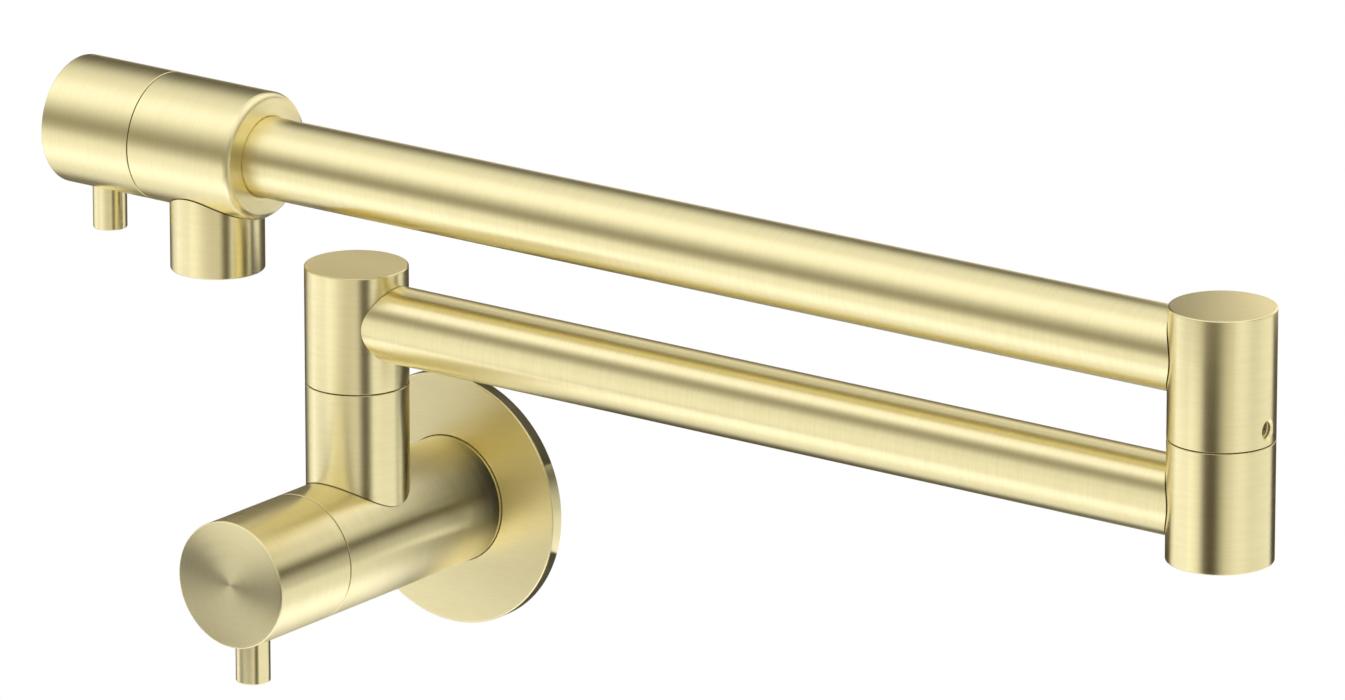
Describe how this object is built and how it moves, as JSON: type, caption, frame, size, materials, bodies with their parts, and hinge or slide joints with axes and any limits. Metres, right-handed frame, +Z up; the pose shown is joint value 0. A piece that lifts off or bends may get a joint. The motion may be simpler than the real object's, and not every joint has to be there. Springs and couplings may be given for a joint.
{
  "type": "wall mounted pot filler",
  "caption": "Wall mounted pot filler: round wall plate, swinging tube arms joined by an elbow, pin lever valves at the wall and at the downward outlet.",
  "frame": {"origin": "where the axis of the valve body meets the wall", "axes": "+Y into the wall along the valve body's axis, +Z up, +X along the folded arms towards the elbow"},
  "size_m": [0.387, 0.1151, 0.1528],
  "materials": {
    "brushed_gold": "pale gold, brushed round each bar",
    "plain_brass": "turned",
    "stainless_steel": "turned",
    "black_rubber": "moulded, matt",
    "white_ceramic": "lapped alumina",
    "white_acetal": "moulded"
  },
  "bodies": {
    "wall_body": {"wall_flange": "brushed_gold", "flange_gasket": "black_rubber", "flange_ring": "black_rubber", "valve_body": "brushed_gold", "inlet_nipple": "plain_brass", "inlet_filter_washer": "stainless_steel", "riser_stub": "brushed_gold", "riser_spigot": "plain_brass", "riser_orings": "black_rubber", "riser_slip_washer": "white_acetal", "main_seat_seal": "black_rubber", "main_fixed_disc": "white_ceramic", "main_cartridge_housing": "plain_brass", "main_cartridge_oring": "black_rubber", "main_retaining_nut": "plain_brass"},
    "main_handle": {"main_turning_disc": "white_ceramic", "main_spindle": "plain_brass", "main_spindle_orings": "black_rubber", "main_spindle_clip": "stainless_steel", "main_handle_cap": "brushed_gold", "main_lever_pin": "brushed_gold", "main_handle_screw": "stainless_steel"},
    "lower_arm": {"riser_collar": "brushed_gold", "riser_screw": "stainless_steel", "lower_arm_tube": "brushed_gold", "lower_arm_inner_ferrule": "plain_brass", "lower_arm_outer_ferrule": "plain_brass", "elbow_base": "brushed_gold", "elbow_spigot": "plain_brass", "elbow_orings": "black_rubber", "elbow_slip_washer": "white_acetal"},
    "upper_arm": {"elbow_top": "brushed_gold", "elbow_screw": "stainless_steel", "upper_arm_ferrule": "plain_brass", "upper_arm_tube": "brushed_gold", "spout_head": "brushed_gold", "outlet_tube": "brushed_gold", "head_seat_seal": "black_rubber", "head_fixed_disc": "white_ceramic", "head_cartridge_housing": "plain_brass", "head_cartridge_oring": "black_rubber", "head_retaining_nut": "plain_brass", "aerator_housing": "plain_brass", "aerator_insert": "white_acetal", "aerator_washer": "black_rubber"},
    "head_handle": {"head_turning_disc": "white_ceramic", "head_spindle": "plain_brass", "head_spindle_orings": "black_rubber", "head_spindle_clip": "stainless_steel", "head_handle_cap": "brushed_gold", "head_lever_pin": "brushed_gold", "head_handle_screw": "stainless_steel"}
  },
  "joints": [
    {"name": "main_handle_turn", "type": "hinge", "parent": "wall_body", "child": "main_handle", "pos_m": [0, -0.0694, 0], "axis": [0, -1, 0], "range_deg": [0, 90]},
    {"name": "riser_swivel", "type": "hinge", "parent": "wall_body", "child": "lower_arm", "pos_m": [0, -0.044, 0.0432], "axis": [0, 0, 1], "range_deg": [-180, 0]},
    {"name": "elbow_swivel", "type": "hinge", "parent": "lower_arm", "child": "upper_arm", "pos_m": [0.279, -0.044, 0.0794], "axis": [0, 0, 1], "continuous": true},
    {"name": "head_handle_turn", "type": "hinge", "parent": "upper_arm", "child": "head_handle", "pos_m": [-0.0643, -0.044, 0.1003], "axis": [-1, 0, 0], "range_deg": [0, 90]}
  ]
}
